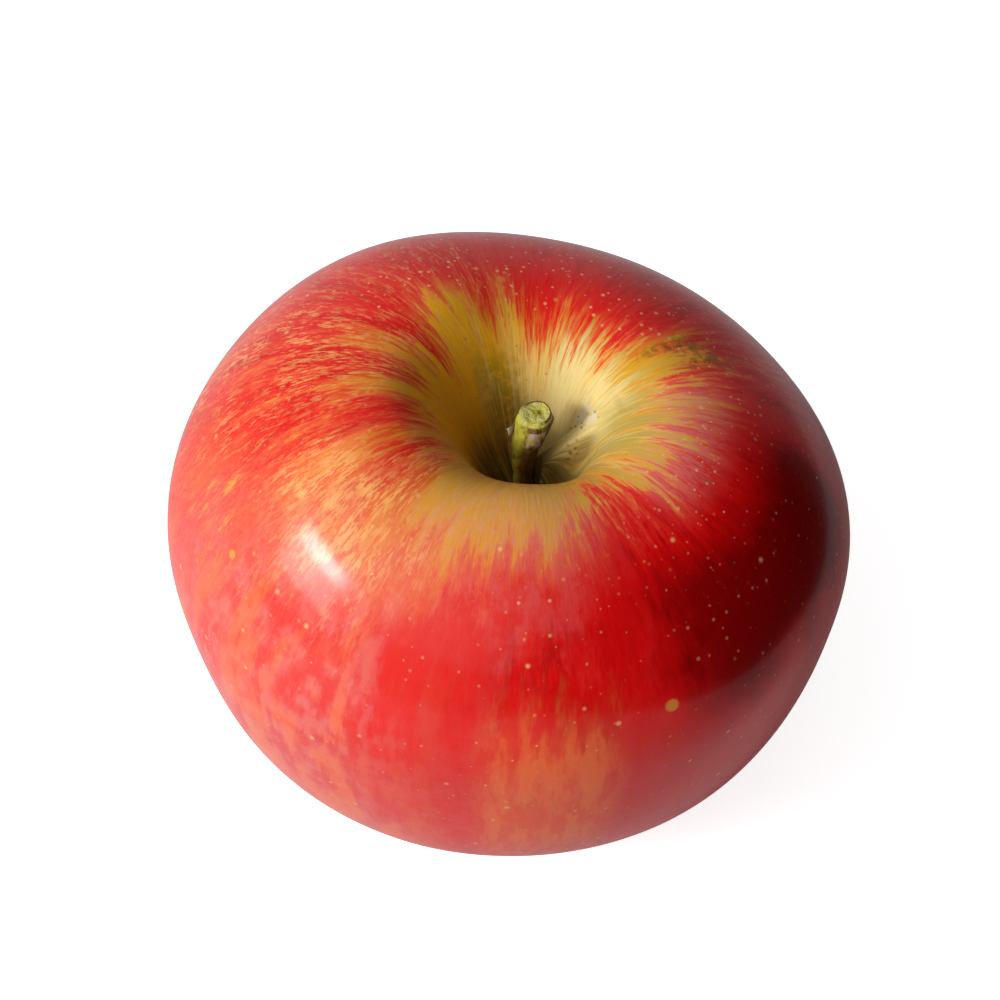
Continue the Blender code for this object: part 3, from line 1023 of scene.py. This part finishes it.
def add_softbox(name, degrees, rise, width, height, power):
    """A soft rectangular light that shines on the apple."""
    lamp = bpy.data.lights.new(name, "AREA")
    lamp.shape = "RECTANGLE"
    lamp.size, lamp.size_y = width, height
    lamp.energy = power
    holder = new_object(name, lamp)
    rise = math.radians(rise)
    away = Vector(heading(degrees)) * math.cos(rise) + Vector((0, 0, math.sin(rise)))
    holder.location = away * LIGHT_DISTANCE + APPLE_MIDDLE
    holder.rotation_euler = (APPLE_MIDDLE - holder.location).to_track_quat("-Z", "Y").to_euler()


def studio_world(stage):
    """A room that is bright on one side and dim on the other, and white where the camera sees it."""
    world = bpy.data.worlds.new("studio")
    bpy.context.scene.world = world
    world.use_nodes = True
    room = Nodes(world.node_tree)
    facing = room.facing(room.add("TexCoord", {}).outputs["Generated"], BRIGHT_WALL)
    glow = room.range(facing, -0.55, 0.40, stage.room_dark, stage.room_bright)
    seen = room.add("LightPath", {}).outputs["Is Camera Ray"]
    strength = room.math("MAXIMUM", glow, seen)
    room.give(world.node_tree.nodes["Background"], {"Color": (1, 1, 1, 1), "Strength": strength})


def studio_floor(stage):
    """A matt white table top, with an edge on the dim side, that the camera sees brighter than it is."""
    bm = bmesh.new()
    bmesh.ops.create_grid(bm, x_segments=1, y_segments=1, size=TABLE_REACH)
    for vert in bm.verts:
        vert.co.x = min(vert.co.x, TABLE_EDGE)
    material, shader = new_material("white floor")
    nodes = Nodes(material.node_tree)
    seen = nodes.add("LightPath", {}).outputs["Is Camera Ray"]
    nodes.give(shader, {
        "Base Color": TABLE_WHITE,
        "Roughness": 0.8,
        "Specular IOR Level": 0.0,
        "Emission Color": (1, 1, 1, 1),
        "Emission Strength": nodes.times(seen, stage.floor_glow),
    })
    floor = new_object("floor", new_mesh("floor", bm, material))


def add_camera(scene):
    camera = bpy.data.cameras.new("view")
    camera.lens, camera.clip_start = LENS, NEAR_LIMIT
    holder = new_object("view", camera)
    holder.location = CAMERA_PLACE
    holder.rotation_euler = (CAMERA_TILT, 0, 0)
    scene.camera = holder


# ---- settings

def tint(name, description, *default):
    """A colour that a user can change."""
    return bpy.props.FloatVectorProperty(
        name=name, description=description, subtype="COLOR", size=4, min=0, max=1, default=(*default, 1)
    )


def amount(name, description, default, unit="LENGTH"):
    """A size or strength that a user can change."""
    return bpy.props.FloatProperty(
        name=name, description=description, unit=unit, precision=5, min=0, default=default
    )


class AppleSkinSettings(bpy.types.PropertyGroup):
    """Sizes of the dots and colours of the skin."""

    dot_spacing: amount("Dot spacing", "Usual distance between the pale dots", 3.1 * MM)
    dot_radius: amount("Dot radius", "Usual radius of a pale dot", 0.38 * MM)
    rare_dot_radius: amount("Large dot radius", "Usual radius of the few large dots", 0.75 * MM)
    ground_gold: tint("Gold ground", "Skin at the edge of the red", 0.62, 0.31, 0.012)
    # Also laid partly as painted light on the pit's upper left edge
    pit_amber: tint("Pit amber", "Warm skin on the pit's left wall", 0.80, 0.36, 0.006)
    pit_tan: tint("Pit tan", "Brownish skin on the front rim of the pit", 0.48, 0.22, 0.045)
    # Also used as painted light on the lip beside the stem
    pit_cream: tint("Pit cream", "Palest skin, on the pit's back wall", 0.74, 0.58, 0.23)
    pit_khaki: tint("Pit khaki", "Dull skin on the pit's right and front wall", 0.42, 0.31, 0.075)
    # Dark olive of the pit's specks and the olive mark, also used as painted shade deep in the pit
    dark_olive_and_pit_shade: tint("Pit olive", "Skin deep in the pit", 0.07, 0.042, 0.005)
    pit_moss: tint("Pit moss", "Green-brown patch on the pit's back wall", 0.30, 0.20, 0.006)
    cork: tint("Cork", "Grey corky skin on top of the lip", 0.70, 0.62, 0.50)
    blush_orange: tint("Orange blush", "Thinnest red", 0.74, 0.24, 0.045)
    blush_scarlet: tint("Scarlet blush", "Light red", 0.70, 0.10, 0.030)
    blush_red: tint("Red blush", "Most of the red", 0.67, 0.020, 0.014)
    blush_crimson: tint("Crimson blush", "Deep red", 0.62, 0.003, 0.004)
    blush_maroon: tint("Maroon blush", "Darkest red, on the shaded side", 0.25, 0.0005, 0.001)
    belly: tint("Belly", "Orange low on the front", 0.78, 0.15, 0.036)
    # Pale film of the skin, also laid over the left and back flanks as a painted sheen
    bloom_and_sheen: tint("Bloom", "Thin pale pink film", 0.62, 0.26, 0.24)
    fleck: tint("Flecks", "Fine gold flecks in the red", 0.80, 0.36, 0.11)
    dot: tint("Dots", "Pale dots all over", 0.78, 0.46, 0.20)
    rare_dot: tint("Large dots", "A few large gold dots", 0.60, 0.33, 0.04)


class AppleStemSettings(bpy.types.PropertyGroup):
    """Sizes and colours of the stem and the calyx."""

    scar_tilt: bpy.props.FloatProperty(
        name="Scar tilt",
        description="Slope of the scar at the stem's end",
        subtype="ANGLE",
        default=math.radians(5),
    )
    flake_width: amount("Flake width", "Width of the loose flake of bark", 1.5 * MM)
    flake_height: amount("Flake height", "Height of the loose flake of bark", 1.05 * MM)
    sepal_thickness: amount("Sepal thickness", "Thickness of a dry sepal", 0.32 * MM)
    stamen_length: amount("Stamen length", "Length of a dry stamen thread", 2.8 * MM)
    stamen_width: amount("Stamen width", "Width of a stamen thread at its foot", 0.2 * MM)
    bark_brown: tint("Brown bark", "Brown streaks of the stem", 0.17, 0.055, 0.010)
    bark_olive: tint("Olive bark", "Dull green streaks and pith of the stem", 0.27, 0.19, 0.025)
    # Also laid on the stem's left side as painted light
    bark_green: tint("Green bark", "Fresh yellow-green bark", 0.52, 0.48, 0.045)
    bark_dark: tint("Dark bark", "Shaded side and foot of the stem", 0.045, 0.030, 0.004)
    # Laid on the scar's rim away from the lamps, so partly painted shade
    bark_rim: tint("Dry rim", "Dark brown dry rim of the scar", 0.060, 0.018, 0.008)
    scar_pale: tint("Pale scar", "Palest wood of the scar", 0.52, 0.48, 0.14)
    # A painted highlight on the front of the knob
    bark_painted_highlight: tint("Bark bloom", "Waxy lilac patch on the front of the knob", 0.50, 0.34, 0.46)
    flake: tint("Flake", "Loose flake of dry bark", 0.72, 0.68, 0.60)
    calyx_dark: tint("Dark sepal", "Darkest parts of the dry calyx", 0.05, 0.03, 0.015)
    calyx_felt: tint("Sepal felt", "Pale felt on the dry calyx", 0.24, 0.18, 0.11)


class AppleStageSettings(bpy.types.PropertyGroup):
    """The studio."""

    room_bright: amount("Bright side", "Strength of the room's light side", 0.54, "NONE")
    room_dark: amount("Dark side", "Strength of the room's dim side", 0.0, "NONE")
    floor_glow: amount("Floor glow", "How much brighter the camera sees the floor", 0.80, "NONE")
    window_power: amount("Window", "Power of the bright window pane", 4.2, "POWER")
    sill_power: amount("Window below", "Power of the dimmer pane below it", 2.7, "POWER")
    curtain_power: amount("Curtain", "Power of the wide soft light behind the window", 3.0, "POWER")


# ---- operators

class APPLE_OT_grow_fruit(bpy.types.Operator):
    """Grow the fruit with its skin"""

    bl_idname = "apple.grow_fruit"
    bl_label = "Grow fruit"

    def execute(self, context):
        look = context.scene.apple_skin
        new_piece("apple_fruit", turned_fruit(), skin_material(look), "apple_skin", "fruit")
        return {"FINISHED"}


class APPLE_OT_grow_stem(bpy.types.Operator):
    """Grow the stem with its scar"""

    bl_idname = "apple.grow_stem"
    bl_label = "Grow stem"

    def execute(self, context):
        look = context.scene.apple_stem
        new_piece("apple_stem", stem_tube(look), stem_material(look), "stem_bark", "stem")
        return {"FINISHED"}


class APPLE_OT_grow_calyx(bpy.types.Operator):
    """Grow the dried calyx in the eye"""

    bl_idname = "apple.grow_calyx"
    bl_label = "Grow calyx"

    def execute(self, context):
        look = context.scene.apple_stem
        new_piece("apple_calyx", dried_calyx(look), calyx_material(look), "dried_calyx", "calyx")
        return {"FINISHED"}


class APPLE_OT_set_stage(bpy.types.Operator):
    """Set the floor, the lights and the camera"""

    bl_idname = "apple.set_stage"
    bl_label = "Set stage"

    def execute(self, context):
        stage = context.scene.apple_stage
        studio_world(stage)
        studio_floor(stage)
        add_softbox("window", *WINDOW, stage.window_power)
        add_softbox("window_below", *WINDOW_BELOW, stage.sill_power)
        add_softbox("curtain", *CURTAIN, stage.curtain_power)
        add_camera(context.scene)
        context.scene.view_settings.view_transform = "Standard"
        return {"FINISHED"}


class APPLE_PT_sidebar(bpy.types.Panel):
    """The apple's pieces in the sidebar"""

    bl_label = "Red apple"
    bl_idname = "APPLE_PT_sidebar"
    bl_space_type = "VIEW_3D"
    bl_region_type = "UI"
    bl_category = "Apple"

    def draw(self, context):
        for operator in OPERATORS:
            self.layout.operator(operator.bl_idname)
        for settings in (context.scene.apple_skin, context.scene.apple_stem, context.scene.apple_stage):
            box = self.layout.box()
            for name in settings.__annotations__:
                box.prop(settings, name)


SETTINGS = {
    "apple_skin": AppleSkinSettings,
    "apple_stem": AppleStemSettings,
    "apple_stage": AppleStageSettings,
}
OPERATORS = (APPLE_OT_grow_fruit, APPLE_OT_grow_stem, APPLE_OT_grow_calyx, APPLE_OT_set_stage)


def register():
    for cls in (*SETTINGS.values(), *OPERATORS, APPLE_PT_sidebar):
        bpy.utils.register_class(cls)
    for name, cls in SETTINGS.items():
        setattr(bpy.types.Scene, name, bpy.props.PointerProperty(type=cls))


def unregister():
    for name in SETTINGS:
        delattr(bpy.types.Scene, name)
    for cls in (APPLE_PT_sidebar, *reversed(OPERATORS), *reversed(SETTINGS.values())):
        bpy.utils.unregister_class(cls)


def main():
    register()
    bpy.ops.apple.grow_fruit()
    bpy.ops.apple.grow_stem()
    bpy.ops.apple.grow_calyx()
    bpy.ops.apple.set_stage()


if __name__ == "__main__":
    main()
